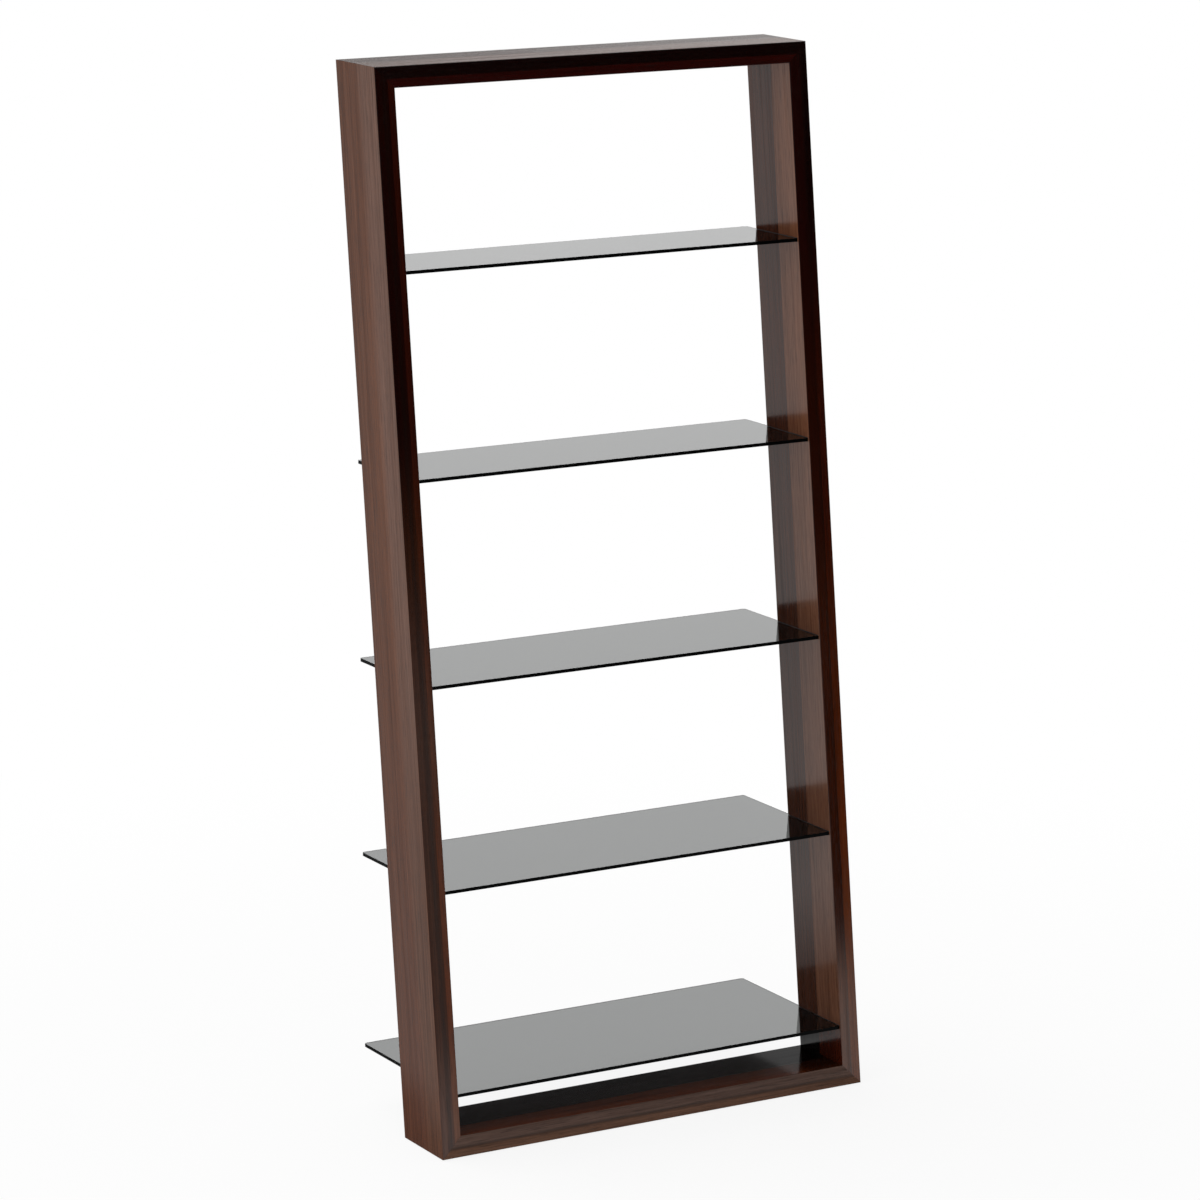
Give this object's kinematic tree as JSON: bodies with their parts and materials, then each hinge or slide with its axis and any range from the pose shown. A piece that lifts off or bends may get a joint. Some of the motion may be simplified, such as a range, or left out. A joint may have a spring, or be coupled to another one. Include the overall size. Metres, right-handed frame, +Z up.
{
  "type": "leaning bookshelf",
  "caption": "Mitred frame of dark veneered boards that leans back against a wall and holds tinted glass shelves in lined grooves, each deeper than the one above.",
  "frame": {"origin": "on the floor, midway across the frame and midway from its front toe to the wall", "axes": "+X to the right, +Y back to the wall, +Z up"},
  "size_m": [0.838, 0.3499, 1.824],
  "materials": {
    "veneer": "dark brown veneer under smooth lacquer",
    "tinted_glass": "clear grey tint, polished edges",
    "liner": "matt black",
    "plywood": "bare",
    "brass": "turned",
    "pad": "matt black",
    "zinc_steel": "bright zinc"
  },
  "bodies": {
    "frame": {"left_upright": "veneer", "right_upright": "veneer", "top_rail": "veneer", "bottom_rail": "veneer", "tongue_top_left": "plywood", "tongue_top_right": "plywood", "tongue_bottom_left": "plywood", "tongue_bottom_right": "plywood", "liner_left_1": "liner", "liner_left_2": "liner", "liner_left_3": "liner", "liner_left_4": "liner", "liner_left_5": "liner", "liner_right_1": "liner", "liner_right_2": "liner", "liner_right_3": "liner", "liner_right_4": "liner", "liner_right_5": "liner", "foot_inserts": "brass", "wall_bracket_left": "zinc_steel", "wall_bracket_right": "zinc_steel", "bracket_screws": "zinc_steel"},
    "shelf_1": {"glass_shelf_1": "tinted_glass"},
    "shelf_2": {"glass_shelf_2": "tinted_glass"},
    "shelf_3": {"glass_shelf_3": "tinted_glass"},
    "shelf_4": {"glass_shelf_4": "tinted_glass"},
    "shelf_5": {"glass_shelf_5": "tinted_glass"},
    "pad_front_left": {"foot_pad_front_left": "pad"},
    "pad_front_right": {"foot_pad_front_right": "pad"},
    "pad_back_left": {"foot_pad_back_left": "pad"},
    "pad_back_right": {"foot_pad_back_right": "pad"},
    "stud_front_left": {"foot_stud_front_left": "zinc_steel"},
    "stud_front_right": {"foot_stud_front_right": "zinc_steel"},
    "stud_back_left": {"foot_stud_back_left": "zinc_steel"},
    "stud_back_right": {"foot_stud_back_right": "zinc_steel"}
  },
  "joints": [
    {"name": "shelf_1_slide", "type": "slide", "parent": "frame", "child": "shelf_1", "axis": [0, 1, 0], "range_m": [0, 0.14]},
    {"name": "shelf_2_slide", "type": "slide", "parent": "frame", "child": "shelf_2", "axis": [0, 1, 0], "range_m": [0, 0.14]},
    {"name": "shelf_3_slide", "type": "slide", "parent": "frame", "child": "shelf_3", "axis": [0, 1, 0], "range_m": [0, 0.14]},
    {"name": "shelf_4_slide", "type": "slide", "parent": "frame", "child": "shelf_4", "axis": [0, 1, 0], "range_m": [0, 0.14]},
    {"name": "shelf_5_slide", "type": "slide", "parent": "frame", "child": "shelf_5", "axis": [0, 1, 0], "range_m": [0, 0.14]},
    {"name": "foot_front_left_lift", "type": "slide", "parent": "frame", "child": "pad_front_left", "axis": [0, 0, -1], "range_m": [0, 0.0075]},
    {"name": "foot_front_left_turn", "type": "hinge", "parent": "pad_front_left", "child": "stud_front_left", "pos_m": [-0.347, -0.143, 0.01], "axis": [0, 0, -1], "range_deg": [0, 2160]},
    {"name": "foot_front_right_lift", "type": "slide", "parent": "frame", "child": "pad_front_right", "axis": [0, 0, -1], "range_m": [0, 0.0075]},
    {"name": "foot_front_right_turn", "type": "hinge", "parent": "pad_front_right", "child": "stud_front_right", "pos_m": [0.347, -0.143, 0.01], "axis": [0, 0, -1], "range_deg": [0, 2160]},
    {"name": "foot_back_left_lift", "type": "slide", "parent": "frame", "child": "pad_back_left", "axis": [0, 0, -1], "range_m": [0, 0.0075]},
    {"name": "foot_back_left_turn", "type": "hinge", "parent": "pad_back_left", "child": "stud_back_left", "pos_m": [-0.347, -0.0675, 0.01], "axis": [0, 0, -1], "range_deg": [0, 2160]},
    {"name": "foot_back_right_lift", "type": "slide", "parent": "frame", "child": "pad_back_right", "axis": [0, 0, -1], "range_m": [0, 0.0075]},
    {"name": "foot_back_right_turn", "type": "hinge", "parent": "pad_back_right", "child": "stud_back_right", "pos_m": [0.347, -0.0675, 0.01], "axis": [0, 0, -1], "range_deg": [0, 2160]}
  ],
  "couplings": [
    {"joint": "foot_front_left_turn", "follows": "foot_front_left_lift", "rad_per_m": 5026.5},
    {"joint": "foot_front_right_turn", "follows": "foot_front_right_lift", "rad_per_m": 5026.5},
    {"joint": "foot_back_left_turn", "follows": "foot_back_left_lift", "rad_per_m": 5026.5},
    {"joint": "foot_back_right_turn", "follows": "foot_back_right_lift", "rad_per_m": 5026.5}
  ]
}
